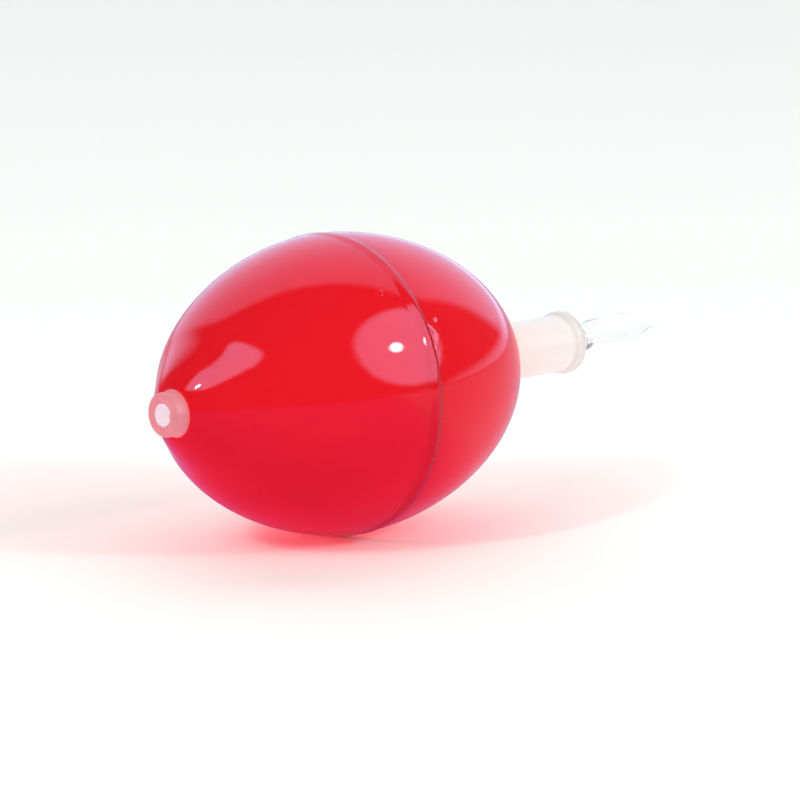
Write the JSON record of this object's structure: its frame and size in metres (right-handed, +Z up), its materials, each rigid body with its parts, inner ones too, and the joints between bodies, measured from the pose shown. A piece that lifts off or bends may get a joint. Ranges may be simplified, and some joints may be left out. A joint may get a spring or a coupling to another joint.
{
  "type": "bobber float",
  "caption": "Water-fillable egg-shaped casting float: clear red shell, milky tapered line tube right through it, and a clear locking pin with a flat pointed grip.",
  "frame": {"origin": "middle of the egg: on its axis, in the seam plane", "axes": "+X along the line tube from the nose to the pin's grip, +Z up, +Y completes the right hand"},
  "size_m": [0.0923, 0.0404, 0.0404],
  "materials": {
    "shell": "polished, see-through",
    "cement": "glossy",
    "tube": "satin, milky",
    "pin": "polished, clear"
  },
  "bodies": {
    "shell": {"front_shell": "shell", "rear_shell": "shell", "seam_cement": "cement"},
    "tube": {"line_tube": "tube"},
    "pin": {"locking_pin": "pin"}
  },
  "joints": [
    {"name": "tube_pull", "type": "slide", "parent": "shell", "child": "tube", "axis": [1, 0, 0], "range_m": [0, 0.06543]},
    {"name": "pin_pull", "type": "slide", "parent": "tube", "child": "pin", "axis": [1, 0, 0], "range_m": [0, 0.07521]}
  ]
}
